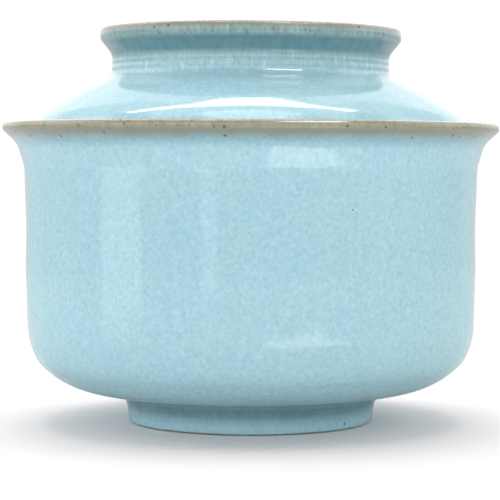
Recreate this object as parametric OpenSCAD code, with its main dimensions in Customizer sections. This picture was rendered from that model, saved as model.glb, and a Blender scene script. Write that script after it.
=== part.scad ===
// Lidded rice bowl in glazed stoneware.
// A cup-shaped bowl with a flared lip stands on a turned foot ring. A domed lid
// drops into the flare, and the ring on top of it is both its handle and its foot
// when it is turned over. Both pieces are thrown on a wheel, so each one is an
// outline turned once around the vertical axis.
// Millimetres, +Z up, origin at the centre of the foot on the table.

/* [Bowl] */

// Diameter over the flared lip
mouth_d = 140; // [134:1:156]

// Height of the bowl from the table to its lip
bowl_h = 85; // [78:1:100]

// Thickness of the wall between the belly and the flare
wall_t = 3.8; // [3:0.1:4.8]

// Thickness of the floor at its middle
floor_t = 4.8; // [4:0.1:7]

/* [Foot ring] */

// Diameter over the foot ring where it meets the belly
foot_d = 73; // [68:1:76]

// Height of the foot ring
foot_h = 7.5; // [6.5:0.5:9]

// Width of the band that touches the table
foot_w = 5; // [4:0.5:7]

/* [Lid] */

// Rise of the dome from the bowl's lip to the neck of the ring
dome_rise = 12.7; // [11:0.1:18]

// Thickness of the dome
lid_t = 3.6; // [3.2:0.1:4.5]

// Gap between the lid's edge and its seat in the flare
seat_gap = 0.05; // [0.03:0.01:0.3]

/* [Ring on the lid] */

// Diameter over the ring's lip
ring_d = 85; // [78:1:88]

// Height of the ring above the dome
ring_h = 13.8; // [12.6:0.1:18]

// Thickness of the ring's wall
ring_t = 3.7; // [3:0.1:5]

/* [Surface] */

// Largest angle between two points of a rounded corner, in degrees
arc_step = 6; // [3:1:10]

/* [Hidden] */

$fn = 180;
glaze = "#a9d2da";

// The lip stands 6 mm out past the wall.
wall_r = mouth_d / 2 - 6;
inside_r = wall_r - wall_t;

foot_r = foot_d / 2;
foot_base_r = foot_r - 1.8;

// The hollow under the bowl ends 2 mm below the belly.
recess_z = foot_h - 2;
floor_z = recess_z + floor_t;

// The lid's edge touches the sloping seat where the gap is zero.
edge_r = wall_r + 0.76 - 0.75 * seat_gap;
edge_z = bowl_h - 4.81 + 0.66 * seat_gap;
shoulder_r = wall_r - 4.9;
shoulder_z = bowl_h + 2.4;
neck_r = ring_d / 2 - 3.5;
dome_r = neck_r + 0.54 * (shoulder_r - neck_r);
neck_z = bowl_h + dome_rise;
dome_z = shoulder_z + 0.49 * (neck_z - shoulder_z);
ring_z = neck_z + ring_h;

// An outline is a list of corners [radius, height, rounding]. Corners on the axis
// have no rounding, and every other corner is rounded by an arc tangent to both
// of its sides.

// Hollow under the bowl, then the foot ring, which narrows towards the table.
foot_outline = [
    [0, recess_z + 0.2, 0],
    [foot_base_r - foot_w - 1.4, recess_z, 1.5],
    [foot_base_r - foot_w, 0, 1.2],
    [foot_base_r, 0, 1.2],
    [foot_r, foot_h, 1.5]
];

// Shallow belly that turns up into the wall.
belly_outline = [
    [foot_r + 0.61 * (wall_r - foot_r), foot_h + 3.4, 22],
    [wall_r - 2.9, foot_h + 10.1, 10.5],
    [wall_r - 0.5, foot_h + 17, 20]
];

// Almost straight wall, drawn in by a hair before the flare.
wall_outline = [
    [wall_r, 0.52 * bowl_h, 60],
    [wall_r - 0.2, 0.66 * bowl_h, 60],
    [wall_r + 0.25, bowl_h - 12.5, 8]
];

// Flare, rolled lip, and the sloping seat inside it that carries the lid.
lip_outline = [
    [wall_r + 2.2, bowl_h - 6.1, 6],
    [wall_r + 7.1, bowl_h - 1.4, 1.5],
    [wall_r + 3.9, bowl_h + 0.35, 1.3],
    [wall_r - 1.4, bowl_h - 5.6, 4]
];

inside_outline = [
    [inside_r + 0.1, bowl_h - 12.5, 12],
    [inside_r, 0.52 * bowl_h, 60],
    [inside_r - 0.6, floor_z + 16.5, 18],
    [inside_r - 2.9, floor_z + 10.2, 9],
    [0.84 * inside_r, floor_z + 3.7, 18],
    [0.62 * inside_r, floor_z + 1.1, 60],
    [0, floor_z, 0]
];

// Underside of the lid, from the middle out to its edge.
underside_outline = [
    [0, neck_z - 2.1, 0],
    [neck_r - 3, neck_z - lid_t - 0.1, 25],
    [dome_r - 0.6 * lid_t, dome_z - 0.87 * lid_t, 16],
    [shoulder_r - 0.76 * lid_t, shoulder_z - 0.58 * lid_t, 11],
    [edge_r - lid_t, edge_z - 0.2 * lid_t, 1.3]
];

// Edge that rests on the seat, then the dome up to the neck of the ring.
dome_outline = [
    [edge_r, edge_z, 1.4],
    [shoulder_r, shoulder_z, 13],
    [dome_r, dome_z, 16],
    [neck_r + 0.4, neck_z, 5]
];

// Flaring ring with a narrow flat top, and the well inside it.
ring_outline = [
    [neck_r, neck_z + 0.45 * ring_h, 5],
    [neck_r + 3.7, ring_z - 2.6, 1.8],
    [neck_r + 2.8, ring_z, 1.5],
    [neck_r + 2.8 - ring_t, ring_z, 1.3],
    [neck_r - ring_t, neck_z + 0.56 * ring_h, 8],
    [neck_r - ring_t - 0.2, neck_z + 0.9, 3],
    [0, neck_z + 2.1, 0]
];

function unit(v) = v / norm(v);
function xy(corner) = [corner[0], corner[1]];
function turned(v, angle) = [
    v[0] * cos(angle) - v[1] * sin(angle),
    v[0] * sin(angle) + v[1] * cos(angle)
];

// Points along the rounding of corner b, between its neighbours a and c.
function corner_arc(a, b, c) =
    let (
        u = unit(xy(a) - xy(b)),
        v = unit(xy(c) - xy(b)),
        half = acos(u * v) / 2,
        centre = xy(b) + unit(u + v) * b[2] / sin(half),
        spoke = xy(b) + u * b[2] / tan(half) - centre,
        sweep = sign(u[1] * v[0] - u[0] * v[1]) * (180 - 2 * half),
        steps = ceil(abs(sweep) / arc_step)
    )
    [for (i = [0:steps]) centre + turned(spoke, sweep * i / steps)];

function rounded(corners) = [
    for (i = [0:len(corners) - 1])
        each corners[i][2] == 0
            ? [xy(corners[i])]
            : corner_arc(corners[i - 1], corners[i], corners[i + 1])
];

module thrown(corners) {
    rotate_extrude()
        polygon(rounded(corners));
}

module bowl() {
    color(glaze)
        thrown(concat(foot_outline, belly_outline, wall_outline, lip_outline, inside_outline));
}

module lid() {
    color(glaze)
        thrown(concat(underside_outline, dome_outline, ring_outline));
}

bowl();
lid();
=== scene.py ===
"""Lidded rice bowl in glazed stoneware: a thrown bowl and its lid, each a lathe mesh with
the small irregularities of hand work, under a mottled turquoise glaze."""

import math

import bpy
import numpy as np
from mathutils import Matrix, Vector


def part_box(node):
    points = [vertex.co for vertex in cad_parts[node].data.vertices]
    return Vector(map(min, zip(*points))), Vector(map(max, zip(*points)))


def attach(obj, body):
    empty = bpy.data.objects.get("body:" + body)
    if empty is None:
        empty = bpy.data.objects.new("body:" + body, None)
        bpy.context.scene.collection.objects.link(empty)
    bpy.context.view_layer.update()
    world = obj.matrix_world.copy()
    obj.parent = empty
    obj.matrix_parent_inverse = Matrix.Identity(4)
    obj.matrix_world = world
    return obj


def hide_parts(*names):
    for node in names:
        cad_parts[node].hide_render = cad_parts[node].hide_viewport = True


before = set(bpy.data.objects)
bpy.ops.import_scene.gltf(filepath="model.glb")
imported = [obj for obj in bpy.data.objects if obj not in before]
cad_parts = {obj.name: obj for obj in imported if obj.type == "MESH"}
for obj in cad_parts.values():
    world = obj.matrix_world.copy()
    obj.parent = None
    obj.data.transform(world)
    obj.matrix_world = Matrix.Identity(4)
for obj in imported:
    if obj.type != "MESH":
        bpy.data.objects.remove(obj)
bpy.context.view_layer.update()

MM = 0.001

# ---------------------------------------------------------------------------
# Sizes in millimetres: the overall ones from the CAD nodes' boxes, the rest as in the CAD
# ---------------------------------------------------------------------------
_, bowl_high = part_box("bowl")
_, lid_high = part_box("lid")

LIP_R = bowl_high.x / MM
BOWL_H = bowl_high.z / MM
RING_TOP = lid_high.z / MM

# The lip stands about 6 mm out past the wall.
WALL_R = LIP_R - 6.08
WALL_T = 3.8
INSIDE_R = WALL_R - WALL_T

# Foot ring, which narrows towards the table, and the hollow inside it.
FOOT_R = 36.5
FOOT_BASE_R = FOOT_R - 1.8
FOOT_W = 5.0
FOOT_IN_R = FOOT_BASE_R - FOOT_W
FOOT_H = 7.5
RECESS_Z = FOOT_H - 2
FLOOR_Z = RECESS_Z + 4.8

# Lid: the shoulder, middle and neck of its dome, then the ring on top.
LID_T = 3.6
SHOULDER_R = WALL_R - 4.9
SHOULDER_Z = BOWL_H + 2.4
NECK_R = 39.0
RING_H = 13.8
RING_T = 3.7
RING_TOP_R = NECK_R + 2.8
NECK_Z = RING_TOP - RING_H
DOME_R = NECK_R + 0.54 * (SHOULDER_R - NECK_R)
DOME_Z = SHOULDER_Z + 0.49 * (NECK_Z - SHOULDER_Z)

# The lid's edge, which rests on the seat inside the bowl's flare.
EDGE_R = WALL_R + 0.72
EDGE_Z = BOWL_H - 4.78

# ---------------------------------------------------------------------------
# Marks of hand work and the borders of the glaze, in millimetres, which the CAD leaves out
# ---------------------------------------------------------------------------
# Throwing rings: from one to the next, and how high they stand.
BOWL_PITCH = 6.4
BOWL_RINGS_OUT = 0.008
BOWL_RINGS_IN = 0.08
LID_PITCH = 5.2
LID_RINGS_UNDER = 0.07

# Soft waves that the hands left.
BOWL_SOFT = 0.06
DOME_SOFT = 0.03
NECK_SOFT = 0.05
UNDER_SOFT = 0.05

# Two fine folds round the ring's neck: heights above the dome, how far they stand out, width.
FOLDS_UP = (4.3, 2.5)
FOLD_OUT = 0.10
FOLD_W = 0.45

# The dome swells by SWELL from SWELL_R to its crest, just above its middle, and draws in by
# DRAW_IN from there to its foot.
SWELL_R = NECK_R + 4
CREST_R = DOME_R - 1.5
DOME_FOOT_R = DOME_R + 8
SWELL = 0.25
DRAW_IN = 0.5

# The pair leans towards +X, with a slope of LEAN at the lip, and is out of round there by OVAL:
# waves, each with its height at the radius OVAL_R, its number in a turn and its phase.
LEAN = 0.0045
OVAL = ((0.18, 2, 0.7), (0.08, 3, -1.1))
OVAL_R = 70

# Height of the glaze's edge on the foot, how that edge and the one on the lid's ring waver, as
# waves like those of OVAL, and how deep the bare clay lies under the glaze.
GLAZE_LINE = 0.34
FOOT_WAVES = ((0.10, 3, 0.4), (0.08, 7, 2.0), (0.05, 17, 0))
RING_WAVES = ((0.10, 5, 1.0), (0.07, 11, 0))
FOOT_BARE_DEPTH = 0.16
RING_BARE_DEPTH = 0.14

# Where the glaze changes near an edge: the distances from the edge along the outline where
# the change starts to fade and has gone, and how far that border wavers.
THIN_OUT = (0.9, 6.2, 0.25)
THIN_IN = (2.8, 7.0, 0.4)
LIP_OUT = (0.0, 1.8, 0.06)
LIP_IN = (3.6, 5.2, 0.3)
RUN_OUT = (6, 22, 0)
RING_EDGE = (0.2, 1.0, 0.06)
RING_THIN = (0.6, 3.2, 0.15)
REST_EDGE = (1.6, 2.8, 0.2)
REST_THIN = (2.2, 5.0, 0.3)

# ---------------------------------------------------------------------------
# Outlines and the mesh
# ---------------------------------------------------------------------------
# Points in a turn, and the longest step in mm and the largest turn in degrees from one point
# of an outline to the next. ARC_TURN is the turn from point to point in a rounded corner,
# before the outline's points are spread anew.
SEGMENTS = 320
MAX_STEP = 1.6
MAX_TURN = 8.0
ARC_TURN = 1.5

# Corners [radius, height, rounding], from the axis underneath to the axis on top.
# They are the CAD's, but both lips, the cove above the foot and the corner under the ring
# follow the photo more closely, up to half a millimetre away from the CAD.
BOWL_CORNERS = [
    # Hollow under the bowl, and the foot ring.
    [0, RECESS_Z + 0.2, 0],
    [FOOT_IN_R - 1.4, RECESS_Z, 1.5],
    [FOOT_IN_R, 0, 1.2],
    [FOOT_BASE_R, 0, 1.2],
    [FOOT_R - 0.8, FOOT_H - 0.1, 4],
    # Belly and wall.
    [FOOT_R + 0.61 * (WALL_R - FOOT_R), FOOT_H + 3.4, 22],
    [WALL_R - 2.9, FOOT_H + 10.1, 10.5],
    [WALL_R - 0.5, FOOT_H + 17, 20],
    [WALL_R, 0.52 * BOWL_H, 60],
    [WALL_R - 0.2, 0.66 * BOWL_H, 60],
    [WALL_R + 0.25, BOWL_H - 12.5, 8],
    # Flare, lip and seat.
    [WALL_R + 2.2, BOWL_H - 6.1, 6],
    [WALL_R + 6.35, BOWL_H - 2.2, 1.4],
    [WALL_R + 6.0, BOWL_H - 0.45, 1.0],
    [WALL_R + 3.9, BOWL_H - 0.05, 1.1],
    [WALL_R - 1.4, BOWL_H - 5.6, 4],
    # Inside.
    [INSIDE_R + 0.1, BOWL_H - 12.5, 12],
    [INSIDE_R, 0.52 * BOWL_H, 60],
    [INSIDE_R - 0.6, FLOOR_Z + 16.5, 18],
    [INSIDE_R - 2.9, FLOOR_Z + 10.2, 9],
    [0.84 * INSIDE_R, FLOOR_Z + 3.7, 18],
    [0.62 * INSIDE_R, FLOOR_Z + 1.1, 60],
    [0, FLOOR_Z, 0],
]
LID_CORNERS = [
    # Underside.
    [0, NECK_Z - 2.1, 0],
    [NECK_R - 3, NECK_Z - LID_T - 0.1, 25],
    [DOME_R - 0.6 * LID_T, DOME_Z - 0.87 * LID_T, 16],
    [SHOULDER_R - 0.76 * LID_T, SHOULDER_Z - 0.58 * LID_T, 11],
    [EDGE_R - LID_T, EDGE_Z - 0.2 * LID_T, 1.3],
    # Edge and dome.
    [EDGE_R, EDGE_Z, 1.4],
    [SHOULDER_R, SHOULDER_Z, 13],
    [DOME_R, DOME_Z, 16],
    [NECK_R + 0.3, NECK_Z + 0.2, 2.5],
    # Ring, and the well inside it.
    [NECK_R, NECK_Z + 0.45 * RING_H, 5],
    [NECK_R + 3.8, RING_TOP - 3.0, 2.4],
    [NECK_R + 3.4, RING_TOP, 1.1],
    [RING_TOP_R - RING_T, RING_TOP, 1.3],
    [NECK_R - RING_T, NECK_Z + 0.56 * RING_H, 8],
    [NECK_R - RING_T - 0.2, NECK_Z + 0.9, 3],
    [0, NECK_Z + 2.1, 0],
]


# ---------------------------------------------------------------------------
# Curves
# ---------------------------------------------------------------------------
def smoothstep(low, high, x):
    t = np.clip((np.asarray(x, float) - low) / (high - low), 0, 1)
    return t * t * (3 - 2 * t)


def fade(low, high, x):
    """1 up to low, 0 from high on."""
    return 1 - smoothstep(low, high, x)


def band(start, full, leave, end, x):
    """0 up to start, 1 from full to leave, 0 again from end on."""
    return smoothstep(start, full, x) * fade(leave, end, x)


def near(border, distance, wavy):
    """1 close by and 0 far off, across one of the borders above, which wavers with wavy."""
    start, end, waver = border
    return fade(start, end, distance + waver * wavy)


def ripple(theta, terms):
    """Waves round the axis, from terms of height, number in a turn and phase."""
    return sum(height * np.cos(k * theta + phase) for height, k, phase in terms)


def waves(rng, theta, along, terms, lowest, highest, pitch):
    """Smooth noise that closes round the axis: a sum of waves, between -1 and 1 or so."""
    total = np.zeros(np.broadcast(theta, along).shape)
    for _ in range(terms):
        k = rng.integers(lowest, highest + 1)
        slant = rng.normal() * along * 2 * math.pi / pitch
        total += np.cos(k * theta + slant + rng.uniform(0, 2 * math.pi))
    return total / math.sqrt(terms)


# ---------------------------------------------------------------------------
# Outlines
# ---------------------------------------------------------------------------
def unit(v):
    return v / np.linalg.norm(v)


def corner_arc(before, corner, after, radius):
    """Points of an arc tangent to both sides of a corner."""
    u, v = unit(before - corner), unit(after - corner)
    half = math.acos(float(u @ v)) / 2
    centre = corner + unit(u + v) * radius / math.sin(half)
    spoke = corner + u * radius / math.tan(half) - centre
    sweep = math.copysign(math.pi - 2 * half, u[1] * v[0] - u[0] * v[1])
    steps = max(2, math.ceil(abs(math.degrees(sweep)) / ARC_TURN))
    angles = [sweep * k / steps for k in range(steps + 1)]
    rotations = [np.array([[math.cos(a), -math.sin(a)], [math.sin(a), math.cos(a)]]) for a in angles]
    return [centre + rotation @ spoke for rotation in rotations]


def rounded(corners):
    """The outline's points, with its corners rounded."""
    places = [np.array(corner[:2], float) for corner in corners]
    points = [places[0]]
    for i in range(1, len(corners) - 1):
        points += corner_arc(places[i - 1], places[i], places[i + 1], corners[i][2])
    return np.array(points + [places[-1]])


def arc_length(outline):
    return np.concatenate([[0], np.cumsum(np.linalg.norm(np.diff(outline, axis=0), axis=1))])


def length_at(outline, r, z):
    """How far along the outline its point nearest to (r, z) is."""
    return arc_length(outline)[np.argmin(np.hypot(outline[:, 0] - r, outline[:, 1] - z))]


def resampled(points, fine):
    """Points along the outline, closer together where it turns and where fine(r, z) is above 0."""
    step = np.diff(points, axis=0)
    length = np.linalg.norm(step, axis=1)
    angle = np.unwrap(np.arctan2(step[:, 1], step[:, 0]))
    turn = np.abs(np.diff(angle, prepend=angle[0]))
    middle = (points[1:] + points[:-1]) / 2
    cost = length / MAX_STEP + np.degrees(turn) / MAX_TURN + length * fine(*middle.T)
    total = np.concatenate([[0], np.cumsum(cost)])
    count = int(round(total[-1]))
    at = np.linspace(0, total[-1], count + 1)
    return np.stack([np.interp(at, total, points[:, k]) for k in (0, 1)], axis=1)


BOWL_OUTLINE = rounded(BOWL_CORNERS)
LID_OUTLINE = rounded(LID_CORNERS)


# ---------------------------------------------------------------------------
# Lathe
# ---------------------------------------------------------------------------
def warp(x, y, z):
    """The pair's slight lean and ovality, one field for both pieces so that they stay fitted."""
    theta = np.arctan2(y, x)
    r = np.hypot(x, y)
    grow = np.clip(z / BOWL_H, 0, 1.4) ** 2
    out = ripple(theta, OVAL) * grow * r / OVAL_R
    return x + out * np.cos(theta), y + out * np.sin(theta), z - LEAN * grow * x


def surface(outline, s, theta, shape):
    """The outline turned round +Z, with shape's relief and the warp, in metres. The first
    point and the last one lie on the axis."""
    tangent = np.gradient(outline, s, axis=0)
    tangent /= np.linalg.norm(tangent, axis=1)[:, None]
    ring, tangent = outline[1:-1], tangent[1:-1]
    push = shape(ring, s[1:-1, None], theta)
    r = ring[:, :1] + tangent[:, 1:] * push
    z = ring[:, 1:] - tangent[:, :1] * push
    x, y, z = warp(r * np.cos(theta), r * np.sin(theta), z)
    grid = np.stack([x, y, z], axis=-1).reshape(-1, 3)
    return np.concatenate([[[0, 0, outline[0, 1]]], grid, [[0, 0, outline[-1, 1]]]]) * MM


def faces(rows):
    """Quads between the rows of points, and a fan of triangles round each end of the axis."""
    index = 1 + np.arange(rows * SEGMENTS).reshape(rows, SEGMENTS)
    after = np.roll(index, -1, axis=1)
    quads = np.stack([index[:-1], after[:-1], after[1:], index[1:]], axis=-1).reshape(-1, 4)
    first = np.stack([np.zeros(SEGMENTS, int), after[0], index[0]], axis=-1)
    last = np.stack([np.full(SEGMENTS, 1 + rows * SEGMENTS), index[-1], after[-1]], axis=-1)
    return quads.tolist() + first.tolist() + last.tolist()


def lathe(name, outline, fine, shape, masks):
    """A closed mesh turned round +Z. shape moves the surface along its normal, in mm, and masks
    gives point attributes for the material; both get the outline, its length s and theta."""
    outline = resampled(outline, fine)
    s = arc_length(outline)
    theta = np.linspace(0, 2 * math.pi, SEGMENTS, endpoint=False)[None, :]
    rows = len(outline) - 2

    mesh = bpy.data.meshes.new(name)
    mesh.from_pydata(surface(outline, s, theta, shape).tolist(), [], faces(rows), shade_flat=False)
    mesh.validate()
    for label, value in masks(outline[1:-1], s[1:-1, None], theta).items():
        value = np.broadcast_to(value, (rows, SEGMENTS)).ravel()
        value = np.concatenate([[value[0]], value, [value[-1]]]).astype(np.float32)
        mesh.attributes.new(label, "FLOAT", "POINT").data.foreach_set("value", value)

    piece = bpy.data.objects.new(name, mesh)
    bpy.context.scene.collection.objects.link(piece)
    return piece


# ---------------------------------------------------------------------------
# Bowl: its relief in mm, and the masks from 0 to 1 that its glaze and its painted shade follow
# ---------------------------------------------------------------------------
def bowl_bare(ring, theta):
    """1 where the foot's contact band is bare clay, 0 under the glaze."""
    r, z = ring[:, :1], ring[:, 1:]
    line = GLAZE_LINE + ripple(theta, FOOT_WAVES)
    return smoothstep(FOOT_IN_R - 1.2, FOOT_IN_R - 0.8, r) * fade(-0.12, 0.12, z - line)


def bowl_shape(ring, s, theta):
    """Throwing rings, faint outside and plainer inside, soft waves, and the bare foot."""
    rng = np.random.default_rng(11)
    z = ring[:, 1:]
    outside = s < length_at(BOWL_OUTLINE, WALL_R + 6, BOWL_H - 0.6)
    wall = band(FOOT_H + 6, FOOT_H + 16, BOWL_H - 14, BOWL_H - 7, z)
    start, full = (length_at(BOWL_OUTLINE, INSIDE_R, BOWL_H - depth) for depth in (19, 30))
    keep = np.where(outside, wall, smoothstep(start, full, s))
    turns = z / BOWL_PITCH + theta / (2 * math.pi)
    rings = np.cos(2 * math.pi * turns + 0.6 * np.cos(2 * theta))
    soft = waves(rng, theta, s, 10, 1, 6, 40)
    height = np.where(outside, BOWL_RINGS_OUT, BOWL_RINGS_IN)
    push = keep * (height * rings + BOWL_SOFT * soft)
    return push - FOOT_BARE_DEPTH * bowl_bare(ring, theta)


def bowl_pool_and_shade(s, outside, below):
    """Thick glaze: in the cove above the foot, under the lip, and on the floor inside. In the
    cove and under the lip the darkening is also painted shade.
    """
    cove = length_at(BOWL_OUTLINE, FOOT_R, FOOT_H)
    bottom = length_at(BOWL_OUTLINE, 0.84 * INSIDE_R, FLOOR_Z + 3.7)
    # Cove above the foot: thicker glaze, darkened further as painted shade of the recess.
    pool_and_shade = 0.75 * band(cove - 5.5, cove - 2.0, cove - 0.5, cove + 2, s)
    # Under the lip: painted shade beneath the overhang, partly thicker glaze.
    pool_and_shade = pool_and_shade + np.where(outside, 0.42 * band(0.8, 2.8, 4.5, 8.5, below), 0)
    return pool_and_shade + 0.45 * smoothstep(bottom - 16, bottom, s)


def bowl_masks(ring, s, theta):
    """Thin and broken glaze at the tip of the lip, streaks below it, pools that are partly painted
    shade, and the bare foot.
    """
    rng = np.random.default_rng(12)
    tip = length_at(BOWL_OUTLINE, WALL_R + 6.05, BOWL_H - 1.6)
    wavy = waves(rng, theta, 0 * s, 14, 3, 40, 50)
    below, above = tip - s, s - tip
    outside = s < tip
    return {
        "thin": np.where(outside, near(THIN_OUT, below, wavy), near(THIN_IN, above, wavy)),
        "edge": np.where(outside, near(LIP_OUT, below, wavy), near(LIP_IN, above, wavy)),
        "top": smoothstep(0.7, 1.9, above + 0.05 * wavy),
        "pool_and_shade": bowl_pool_and_shade(s, outside, below),
        "run": np.where(outside, near(RUN_OUT, below, wavy), 0),
        "grey": 0 * s,
        "bare": bowl_bare(ring, theta),
    }


def bowl_fine(r, z):
    """Extra points where the glaze ends on the foot."""
    return 2.2 * (z < 1.4)


# ---------------------------------------------------------------------------
# Lid: its relief in mm, and the masks from 0 to 1 that its glaze and its painted shade follow
# ---------------------------------------------------------------------------
def lid_bare(ring, theta):
    """1 on the ring's flat top, which is wiped clean of glaze."""
    r, z = ring[:, :1], ring[:, 1:]
    wavy = ripple(theta, RING_WAVES)
    inner = RING_TOP_R - RING_T
    clear_of_well = smoothstep(inner + 0.35, inner + 0.6, r + wavy)
    return clear_of_well * smoothstep(RING_TOP - 0.75, RING_TOP - 0.5, z + wavy)


def dome_swell(r):
    """How far the dome swells out past its straight slope at each radius."""
    rise = np.sin(math.pi / 2 * np.clip((r - SWELL_R) / (CREST_R - SWELL_R), 0, 1))
    fall = np.clip((r - CREST_R) / (DOME_FOOT_R - CREST_R), 0, 1) ** 2
    return (SWELL * rise - DRAW_IN * fall) * fade(SHOULDER_R + 2.5, EDGE_R, r)


def lid_shape(ring, s, theta):
    """The dome's swell, the folds round the neck, soft waves, throwing rings underneath, and
    the bare top of the ring."""
    rng = np.random.default_rng(21)
    r, z = ring[:, :1], ring[:, 1:]
    outside = s > length_at(LID_OUTLINE, EDGE_R, EDGE_Z)
    dome = band(EDGE_Z + 3, EDGE_Z + 8, NECK_Z - 3, NECK_Z, z)
    neck = band(NECK_Z, NECK_Z + 3, RING_TOP - 6, RING_TOP - 3, z)
    soft = waves(rng, theta, s, 10, 1, 6, 35)
    rings = np.cos(2 * math.pi * r / LID_PITCH + theta)
    nearby = np.linspace(-0.8, 0.8, 5)[:, None, None]
    swell = dome_swell(r + nearby).mean(axis=0) * (z < NECK_Z)
    folds = sum(FOLD_OUT * np.exp(-(((z - NECK_Z - up) / FOLD_W) ** 2)) for up in FOLDS_UP)
    over = swell + (DOME_SOFT * dome + NECK_SOFT * neck) * soft + folds * (r > NECK_R - 1)
    under = fade(EDGE_R - 14, EDGE_R - 7, r) * (UNDER_SOFT * soft + LID_RINGS_UNDER * rings)
    return np.where(outside, over, under) - RING_BARE_DEPTH * lid_bare(ring, theta)


def lid_pool_and_shade(s, neck, lip):
    """Thick glaze: under the ring's lip and in the well. Under the lip the dark band is mostly
    painted shade.
    """
    well = length_at(LID_OUTLINE, NECK_R - RING_T, NECK_Z + 2)
    # Under the ring's lip: a dark band of painted shade, partly thicker glaze.
    pool_and_shade = 0.9 * band(neck - 0.4, neck + 1.8, lip - 0.8, lip + 0.6, s)
    return pool_and_shade + 0.5 * band(well - 4, well, well + 4, well + 14, s)


def lid_run(s, neck, lip):
    """Streaks down the neck and over the ring's lip."""
    down = 0.6 * fade(neck, neck + 3, s) + fade(neck - 3, neck, s)
    over = 0.5 * band(lip - 1, lip + 1, lip + 2, lip + 4, s)
    return down * smoothstep(neck - 7, neck - 4, s) + over


def lid_masks(ring, s, theta):
    """Thin glaze over the ring's top and along the edge that rests on the bowl, pools and
    streaks, painted shade in the pools under the ring's lip, and greyer glaze round the ring,
    most of all on its lip."""
    rng = np.random.default_rng(22)
    wavy = waves(rng, theta, 0 * s, 14, 3, 30, 50)
    top_out = length_at(LID_OUTLINE, NECK_R + 2.6, RING_TOP - 0.3)
    top_in = length_at(LID_OUTLINE, NECK_R - RING_T + 3.2, RING_TOP - 0.3)
    from_top = np.maximum(top_out - s, s - top_in)
    from_rest = np.abs(s - length_at(LID_OUTLINE, EDGE_R - 1.5, EDGE_Z))
    edge = np.maximum(near(RING_EDGE, from_top, wavy), near(REST_EDGE, from_rest, wavy))
    thin = np.maximum(near(RING_THIN, from_top, wavy), near(REST_THIN, from_rest, wavy))

    neck = length_at(LID_OUTLINE, NECK_R, NECK_Z + 5.0)
    lip = length_at(LID_OUTLINE, NECK_R + 3.0, RING_TOP - 4.2)
    ring_wide = band(neck - 5, neck + 1, top_in + 3, top_in + 8, s)
    return {
        "thin": thin,
        "edge": edge,
        "top": edge,
        "pool_and_shade": lid_pool_and_shade(s, neck, lip),
        "run": lid_run(s, neck, lip),
        "grey": ring_wide * (0.5 + 0.4 * smoothstep(lip - 2, lip, s)),
        "bare": lid_bare(ring, theta),
    }


def lid_fine(r, z):
    """Extra points where the glaze ends on the ring's top, and at the folds."""
    folds = (r > NECK_R - 1) & (z > NECK_Z + 1) & (z < NECK_Z + 5.6)
    return 1.6 * (z > RING_TOP - 1.6) + 2.6 * folds


# ---------------------------------------------------------------------------
# Materials
# ---------------------------------------------------------------------------
class Nodes:
    """A short way to write a node tree: each method adds nodes and returns their output."""

    def __init__(self, tree):
        self.tree = tree
        tree.nodes.clear()

    def add(self, kind, inputs=(), output=0, **settings):
        node = self.tree.nodes.new(kind)
        for key, value in settings.items():
            setattr(node, key, value)
        for key, value in dict(inputs).items():
            if isinstance(value, bpy.types.NodeSocket):
                self.tree.links.new(value, node.inputs[key])
            else:
                node.inputs[key].default_value = value
        return node.outputs[output]

    def math(self, operation, a, b=0.0, clamp=False):
        return self.add("ShaderNodeMath", {0: a, 1: b}, operation=operation, use_clamp=clamp)

    def times(self, a, b):
        return self.math("MULTIPLY", a, b)

    def plus(self, a, b):
        return self.math("ADD", a, b)

    def steps(self, value, low, high, to_low=0.0, to_high=1.0):
        """From to_low where value is low to to_high where it is high, with soft ends."""
        inputs = {"Value": value, "From Min": low, "From Max": high}
        inputs.update({"To Min": to_low, "To Max": to_high})
        return self.add("ShaderNodeMapRange", inputs, interpolation_type="SMOOTHSTEP")

    def mix(self, factor, a, b):
        """The mix of two colours; b shows where factor is 1."""
        colours = {6: a, 7: b}
        for slot, colour in colours.items():
            if not isinstance(colour, bpy.types.NodeSocket):
                colours[slot] = (*colour, 1)
        return self.add("ShaderNodeMix", {0: factor, **colours}, output=2, data_type="RGBA")

    def result(self, kind, shader):
        """The tree's output node, fed by shader."""
        self.tree.links.new(shader, self.tree.nodes.new(kind).inputs["Surface"])

    def attribute(self, name):
        return self.add("ShaderNodeAttribute", output="Fac", attribute_name=name)

    def place(self, stretch=(1, 1, 1)):
        """The point's place on the piece in millimetres, scaled by stretch."""
        coordinates = self.add("ShaderNodeTexCoord", output="Object")
        scale = tuple(k / MM for k in stretch)
        return self.add("ShaderNodeVectorMath", {0: coordinates, 1: scale}, operation="MULTIPLY")

    def noise(self, place, size, seed, detail=2.0, rough=0.5):
        """Noise whose blotches are about size millimetres across."""
        inputs = {"Vector": place, "W": float(seed), "Scale": 1 / size}
        inputs.update({"Detail": detail, "Roughness": rough})
        return self.add("ShaderNodeTexNoise", inputs, noise_dimensions="4D")

    def specks(self, place, cell, radius, share, seed):
        """Round specks in a share of cells, each cell about cell millimetres across."""
        apart = (seed * 7.3, seed * 3.1, seed * 5.7)
        place = self.add("ShaderNodeVectorMath", {0: place, 1: apart})
        cells = self.add("ShaderNodeTexVoronoi", {"Vector": place, "Scale": 1 / cell}).node
        pick = self.add("ShaderNodeSeparateColor", {0: cells.outputs["Color"]}).node
        chosen = self.math("LESS_THAN", pick.outputs[0], share)
        size = self.steps(pick.outputs[1], 0, 1, 0.5 * radius / cell, radius / cell)
        reach = self.math("DIVIDE", cells.outputs["Distance"], size)
        inside = self.math("SUBTRACT", 1.0, reach, clamp=True)
        return self.times(chosen, self.steps(inside, 0.0, 0.45))


TURQUOISE = (0.405, 0.665, 0.745)
BLUE = (0.385, 0.640, 0.760)
GREEN = (0.425, 0.680, 0.725)
PALE = (0.560, 0.790, 0.850)
SHADE = (0.300, 0.530, 0.610)
LAVENDER = (0.370, 0.560, 0.760)
CREAM = (0.520, 0.700, 0.620)
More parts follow.
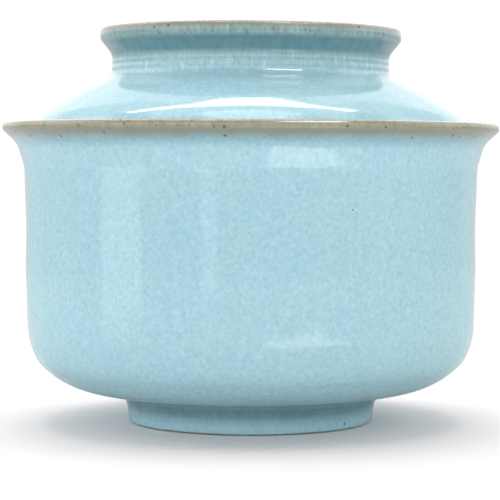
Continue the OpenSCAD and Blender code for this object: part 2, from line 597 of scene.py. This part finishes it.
# Deep colour of thick glaze, also painted as the shade under the lips and in the cove above the
# foot.
POOL_AND_SHADE = (0.100, 0.230, 0.272)
SAGE = (0.240, 0.345, 0.335)
SMOKE = (0.085, 0.150, 0.175)
# Thin glaze broken to greyed olive, darkened to paint the shade under the bowl's lip.
BREAK_AND_SHADE = (0.270, 0.290, 0.240)
KHAKI = (0.300, 0.295, 0.205)
BEIGE = (0.540, 0.500, 0.400)
OLIVE = (0.165, 0.170, 0.115)
SPECK = (0.070, 0.080, 0.065)
CLAY = (0.600, 0.530, 0.435)
CLAY_DARK = (0.380, 0.315, 0.245)

# Patterns drawn out downwards, as molten glaze hangs: heights count for this much.
HANGING = (1, 1, 0.3)

# Fine mottling: the size in mm, the noise where a fleck starts and is full, its strength and
# its colour.
FLECKS = (
    (1.2, 0.42, 0.70, 0.44, PALE),
    (1.1, 0.42, 0.70, 0.44, SHADE),
    (1.0, 0.50, 0.72, 0.30, LAVENDER),
    (1.1, 0.54, 0.74, 0.26, CREAM),
)

# Streaks where the glaze has run, in the same order.
STREAKS = (
    (1.2, 0.50, 0.75, 0.6, PALE),
    (1.0, 0.52, 0.75, 0.5, LAVENDER),
)

# Radius of the largest specks in mm.
SPECK_R = 0.55

# Roughness of the glaze, and what spots, thin glaze and bare clay add to it.
ROUGH_GLAZE = 0.05
ROUGH_SPOTS = 0.05
ROUGH_THIN = 0.06
ROUGH_CLAY = 0.6

# Relief in mm: the glaze's broad and fine waves, the pinholes and the clay's grain.
PEEL_H = 0.012
FINE_PEEL_H = 0.0025
PINHOLE_H = 0.02
GRAIN_H = 0.2


def body_colour(n, seed):
    """Broad patches, then fine mottling."""
    here = n.place()
    broad = n.noise(here, 16, seed, 3)
    colour = n.mix(n.steps(broad, 0.35, 0.65), BLUE, GREEN)
    colour = n.mix(0.5, colour, TURQUOISE)
    for k, (size, low, high, amount, tint) in enumerate(FLECKS, 1):
        fleck = n.steps(n.noise(here, size, seed + 3 * k), low, high, 0, amount)
        colour = n.mix(fleck, colour, tint)
    return colour


def thick_colour(n, colour, seed):
    """Round the lid's ring the fire left the glaze greyer. Below a lip it has run into short
    fine streaks, and where it is thick it is deeper and hangs down in uneven tongues. The
    same deep colour paints the shade under the lips and in the cove above the foot."""
    hanging = n.place(HANGING)
    grey, run = n.attribute("grey"), n.attribute("run")
    colour = n.mix(grey, colour, SAGE)
    smoke = n.steps(n.noise(hanging, 0.8, seed + 26, 3, 0.7), 0.48, 0.78)
    colour = n.mix(n.times(smoke, grey), colour, SMOKE)
    for k, (size, low, high, amount, tint) in enumerate(STREAKS, 13):
        streak = n.steps(n.noise(hanging, size, seed + k, 2, 0.6), low, high)
        colour = n.mix(n.times(streak, n.times(run, amount)), colour, tint)
    tongues = n.steps(n.noise(hanging, 2.4, seed + 17), 0.25, 0.75, 0.8, 1.0)
    # Thick glaze, and painted shade under the lips and in the cove above the foot.
    return n.mix(n.times(n.attribute("pool_and_shade"), tongues), colour, POOL_AND_SHADE)


def rim_colour(n, seed):
    """Khaki on the very edge and beige on top of it, warmer in places and scorched in others."""
    here = n.place()
    rim = n.mix(n.attribute("top"), KHAKI, BEIGE)
    warm = n.steps(n.noise(here, 3.0, seed + 19, 3), 0.35, 0.70, 0, 0.20)
    rim = n.mix(warm, rim, CLAY)
    scorched = n.steps(n.noise(here, 1.1, seed + 27, 3, 0.65), 0.46, 0.72, 0, 0.60)
    return n.mix(scorched, rim, OLIVE)


def thin_colour(n, colour, seed):
    """Thin glaze breaks to a greyed olive, darkened as painted shade under the bowl's lip, and to
    the rim's colours at the edge.
    """
    torn = n.noise(n.place(HANGING), 1.4, seed + 18, 3, 0.6)
    ragged = n.times(n.math("SUBTRACT", torn, 0.5), 0.35)
    # Greyed olive, with painted shade under the bowl's lip.
    colour = n.mix(n.steps(n.plus(n.attribute("thin"), ragged), 0.02, 0.98), colour, BREAK_AND_SHADE)
    return n.mix(n.steps(n.attribute("edge"), 0.1, 0.9), colour, rim_colour(n, seed))


def iron_specks(n, seed):
    """A few specks everywhere, and more of them where the glaze is thin."""
    here = n.place()
    few = n.specks(here, 8.0, SPECK_R, 0.30, seed + 20)
    many = n.specks(here, 2.4, SPECK_R, 0.55, seed + 21)
    return n.math("MAXIMUM", few, n.times(many, n.steps(n.attribute("thin"), 0.05, 0.4)))


def roughness(n, seed):
    """Glassy, a little duller in spots and where the glaze is thin, matt on the clay."""
    spots = n.times(n.noise(n.place(), 3.5, seed + 23, 3), ROUGH_SPOTS)
    rough = n.plus(n.plus(spots, n.times(n.attribute("thin"), ROUGH_THIN)), ROUGH_GLAZE)
    return n.math("ADD", rough, n.times(n.attribute("bare"), ROUGH_CLAY), clamp=True)


def relief(n, specks, grog, seed):
    """Soft waves in the glaze, pinholes at the specks, and the clay's grain."""
    here = n.place()
    peel = n.times(n.noise(here, 5.0, seed + 24, 2, 0.4), PEEL_H)
    height = n.plus(peel, n.times(n.noise(here, 1.3, seed + 25), FINE_PEEL_H))
    height = n.plus(height, n.times(specks, -PINHOLE_H))
    height = n.plus(height, n.times(n.times(grog, n.attribute("bare")), GRAIN_H))
    inputs = {"Height": height, "Strength": 1.0, "Distance": MM}
    return n.add("ShaderNodeBump", inputs, output="Normal")


def glaze(name, seed):
    """Mottled turquoise glaze: it runs and pools where it is thick, breaks to olive and beige
    where it is thin, and leaves bare clay where it was wiped off. Shade is painted in under the
    lips and in the cove above the foot."""
    material = bpy.data.materials.new(name)
    material.use_nodes = True
    n = Nodes(material.node_tree)
    colour = thick_colour(n, body_colour(n, seed), seed)
    colour = thin_colour(n, colour, seed)
    specks = iron_specks(n, seed)
    colour = n.mix(n.times(specks, 0.85), colour, SPECK)
    grog = n.noise(n.place(), 0.8, seed + 22, 4, 0.65)
    clay = n.mix(n.steps(grog, 0.35, 0.7), CLAY, CLAY_DARK)
    colour = n.mix(n.attribute("bare"), colour, clay)
    inputs = {"Base Color": colour, "Roughness": roughness(n, seed), "IOR": 1.52}
    inputs["Normal"] = relief(n, specks, grog, seed)
    n.result("ShaderNodeOutputMaterial", n.add("ShaderNodeBsdfPrincipled", inputs))
    return material


# ---------------------------------------------------------------------------
# Assembly
# ---------------------------------------------------------------------------
bowl = lathe("bowl_glazed", BOWL_OUTLINE, bowl_fine, bowl_shape, bowl_masks)
bowl.data.materials.append(glaze("bowl_glaze", 3))
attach(bowl, "bowl")
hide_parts("bowl")

lid = lathe("lid_glazed", LID_OUTLINE, lid_fine, lid_shape, lid_masks)
lid.data.materials.append(glaze("lid_glaze", 57))
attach(lid, "lid")
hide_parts("lid")


# ---------------------------------------------------------------------------
# Studio in metres: a pale floor, soft panels, a white room and the camera
# ---------------------------------------------------------------------------
FLOOR_R = 0.7
FLOOR_SIDES = 96
# What the camera sees of the floor, a little warm against the blue light off the glaze, and
# what the floor gives back to everything else.
FLOOR_SEEN = (1.0, 0.93, 0.915)
FLOOR_BOUNCE = (0.65, 0.65, 0.65)


def floor():
    """A round white floor. It bounces less light than it shows, so that what stands on it
    isn't lit too strongly from below."""
    mesh = bpy.data.meshes.new("floor")
    turns = [2 * math.pi * k / FLOOR_SIDES for k in range(FLOOR_SIDES)]
    rim = [(FLOOR_R * math.cos(a), FLOOR_R * math.sin(a), 0) for a in turns]
    mesh.from_pydata(rim, [], [tuple(range(FLOOR_SIDES))])
    piece = bpy.data.objects.new("floor", mesh)
    bpy.context.scene.collection.objects.link(piece)
    material = bpy.data.materials.new("floor")
    material.use_nodes = True
    n = Nodes(material.node_tree)
    colour = n.mix(n.add("ShaderNodeLightPath", output="Is Camera Ray"), FLOOR_BOUNCE, FLOOR_SEEN)
    inputs = {"Base Color": colour, "Roughness": 0.9, "Specular IOR Level": 0.1}
    n.result("ShaderNodeOutputMaterial", n.add("ShaderNodeBsdfPrincipled", inputs))
    mesh.materials.append(material)


def panel(name, centre, look_at, size, radiance, glints_only=False):
    """A rectangular softbox at centre, facing look_at."""
    light = bpy.data.lights.new(name, "AREA")
    light.shape = "RECTANGLE"
    light.size, light.size_y = size
    light.energy = radiance * size[0] * size[1] * math.pi
    piece = bpy.data.objects.new(name, light)
    piece.location = centre
    piece.rotation_euler = (Vector(centre) - Vector(look_at)).to_track_quat("Z", "Y").to_euler()
    piece.visible_camera = False
    piece.visible_diffuse = not glints_only
    bpy.context.scene.collection.objects.link(piece)


SEEN_WHITE = 1.05
SKY_BASE = 0.08
# Soft patches of light in the room: the range of azimuth away from straight behind the
# object, the range of elevation, the softness of the edges (all in degrees), and the strength.
SKY = (
    ((0, 50), (-90, 4), 4, 0.62),
    ((0, 50), (4, 24), 6, 1.20),
    ((0, 25), (24, 58), 4, 1.30),
    ((25, 50), (24, 58), 6, 0.70),
    ((50, 120), (-90, 4), 4, 0.45),
    ((50, 100), (8, 48), 12, 2.00),
    ((100, 120), (4, 36), 6, 0.80),
    ((120, 180), (-90, 4), 6, 0.22),
    ((120, 180), (4, 16), 4, 2.20),
    ((120, 180), (16, 36), 4, 1.10),
    ((0, 90), (60, 76), 4, 1.40),
    ((90, 180), (66, 76), 4, 0.50),
    ((0, 180), (76, 90), 4, 3.90),
)


def patch(n, value, span, soft):
    """1 between the two ends of span and 0 outside, with soft edges."""
    low, high = span
    rise = n.steps(value, low - soft / 2, low + soft / 2)
    fall = n.steps(value, high - soft / 2, high + soft / 2, 1.0, 0.0)
    return n.times(rise, fall)


def surroundings():
    """A white room: plain white to the camera, soft patches of light to everything else."""
    world = bpy.data.worlds.new("studio")
    world.use_nodes = True
    bpy.context.scene.world = world
    n = Nodes(world.node_tree)
    direction = n.add("ShaderNodeTexCoord", output="Generated")
    split = n.add("ShaderNodeSeparateXYZ", {0: direction}).node
    sideways = n.math("ABSOLUTE", split.outputs["X"])
    azimuth = n.math("DEGREES", n.math("ARCTAN2", sideways, split.outputs["Y"]))
    elevation = n.math("DEGREES", n.math("ARCSINE", split.outputs["Z"]))
    light = SKY_BASE
    for around, up, soft, strength in SKY:
        here = n.times(patch(n, azimuth, around, soft), patch(n, elevation, up, soft))
        light = n.plus(light, n.times(here, strength))
    seen = n.add("ShaderNodeLightPath", output="Is Camera Ray")
    strength = n.math("MAXIMUM", light, n.times(seen, SEEN_WHITE))
    background = n.add("ShaderNodeBackground", {"Color": (1, 1, 1, 1), "Strength": strength})
    n.result("ShaderNodeOutputWorld", background)


# The photo's camera: its place, how far it tilts down in degrees, and its lens in mm.
EYE = (-0.00017, -0.566, 0.075)
TILT = 2.66
LENS = 142.56


def camera():
    data = bpy.data.cameras.new("camera")
    data.lens = LENS
    data.sensor_width = 36
    data.dof.use_dof = False
    data.clip_start = 0.01
    piece = bpy.data.objects.new("camera", data)
    piece.location = EYE
    piece.rotation_euler = (math.radians(90 - TILT), 0, 0)
    bpy.context.scene.collection.objects.link(piece)
    bpy.context.scene.camera = piece


floor()
surroundings()
camera()
panel("softbox", (-0.025, 0.125, 0.450), (-0.025, 0.125, 0), (0.420, 0.042), 7.5)
panel("window_left", (-0.305, -0.165, 0.100), (0, -0.01, 0.100), (0.130, 0.200), 1.1)
panel("window_front", (-0.119, -0.342, 0.100), (0, 0, 0.100), (0.042, 0.200), 1.1)
panel("card", (0.082, -0.195, 0.002), (0.082, -0.195, 1.0), (0.120, 0.100), 2.2)
panel("strip", (0.240, -0.390, 0.530), (0, 0, 0.100), (0.300, 0.130), 18.0, glints_only=True)
bpy.context.scene.view_settings.view_transform = "Standard"
